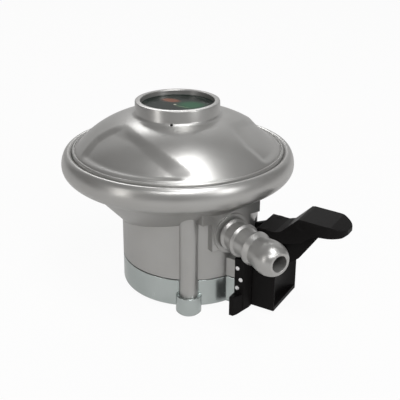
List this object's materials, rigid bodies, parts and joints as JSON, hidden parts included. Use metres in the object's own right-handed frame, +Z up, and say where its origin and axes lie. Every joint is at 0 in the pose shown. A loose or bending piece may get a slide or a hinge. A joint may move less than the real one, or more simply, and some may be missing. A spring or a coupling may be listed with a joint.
{
  "type": "gas regulator",
  "caption": "Clip-on low-pressure gas regulator: domed diaphragm housing on a round skirt, barbed hose nozzle, lever valve and side release button.",
  "frame": {"origin": "centre of the inlet mouth, in the plane of the steel cup's floor", "axes": "+Z up along the inlet socket, +X along the on/off lever and the release button, +Y to the left when looking along +X"},
  "size_m": [0.1011, 0.0786, 0.0646],
  "materials": {
    "silver_paint": "satin metallic",
    "zinc_steel": "zinc plated, semi-gloss",
    "bright_steel": "bright",
    "spring_wire": "drawn wire",
    "black_plastic": "semi-gloss",
    "dark_badge": "gloss",
    "black_rubber": "matte",
    "brass": "turned"
  },
  "bodies": {
    "regulator_body": {"body_casting": "silver_paint", "bonnet": "silver_paint", "collar_cap": "dark_badge", "adjusting_screw": "brass", "bottom_cup": "zinc_steel", "cup_screws": "zinc_steel", "button_cover": "black_plastic", "cover_rivets": "bright_steel", "lever_pin": "bright_steel", "fork_pin": "bright_steel", "rocker_pin": "bright_steel", "inlet_jet": "brass", "inlet_seal": "black_rubber", "diaphragm": "black_rubber", "main_spring": "spring_wire", "pusher_spring": "spring_wire", "button_spring_near": "spring_wire", "button_spring_far": "spring_wire"},
    "lever": {"on_off_lever": "black_plastic"},
    "fork": {"valve_fork": "zinc_steel"},
    "pusher": {"valve_pusher": "brass", "pusher_ring": "black_rubber"},
    "button": {"release_button": "black_plastic", "locking_plate": "zinc_steel"},
    "plate": {"diaphragm_plate": "zinc_steel", "relief_spring": "spring_wire"},
    "stem": {"diaphragm_stem": "brass", "relief_nut": "brass"},
    "rocker": {"rocker_lever": "zinc_steel", "valve_pad": "black_rubber"}
  },
  "joints": [
    {"name": "lever_turn", "type": "hinge", "parent": "regulator_body", "child": "lever", "pos_m": [0.0312, 0, 0.0212], "axis": [0, -1, 0], "range_deg": [0, 35]},
    {"name": "fork_turn", "type": "hinge", "parent": "regulator_body", "child": "fork", "pos_m": [-0.0155, 0, 0.02005], "axis": [0, 1, 0], "range_deg": [0, 7.95]},
    {"name": "pusher_slide", "type": "slide", "parent": "regulator_body", "child": "pusher", "axis": [0, 0, -1], "range_m": [0, 0.0025], "deforming": ["pusher_spring"]},
    {"name": "button_slide", "type": "slide", "parent": "regulator_body", "child": "button", "axis": [-1, 0, 0], "range_m": [0, 0.0025], "stiffness_N_per_m": 800, "springref_m": -0.003, "deforming": ["button_spring_near", "button_spring_far"]},
    {"name": "diaphragm_slide", "type": "slide", "parent": "regulator_body", "child": "plate", "axis": [0, 0, 1], "range_m": [0, 0.002], "stiffness_N_per_m": 2000, "springref_m": -0.005, "deforming": ["main_spring", "diaphragm"]},
    {"name": "relief_slide", "type": "slide", "parent": "plate", "child": "stem", "axis": [0, 0, -1], "range_m": [0, 0.0008], "stiffness_N_per_m": 2000, "springref_m": -0.004, "deforming": ["relief_spring"]},
    {"name": "rocker_turn", "type": "hinge", "parent": "regulator_body", "child": "rocker", "pos_m": [0.004, 0, 0.0369], "axis": [0, 1, 0], "range_deg": [0, 12.75]}
  ],
  "couplings": [
    {"joint": "fork_turn", "follows": "pusher_slide", "rad_per_m": 55.14},
    {"joint": "lever_turn", "follows": "pusher_slide", "rad_per_m": 244.3},
    {"joint": "rocker_turn", "follows": "diaphragm_slide", "rad_per_m": 111.11}
  ]
}
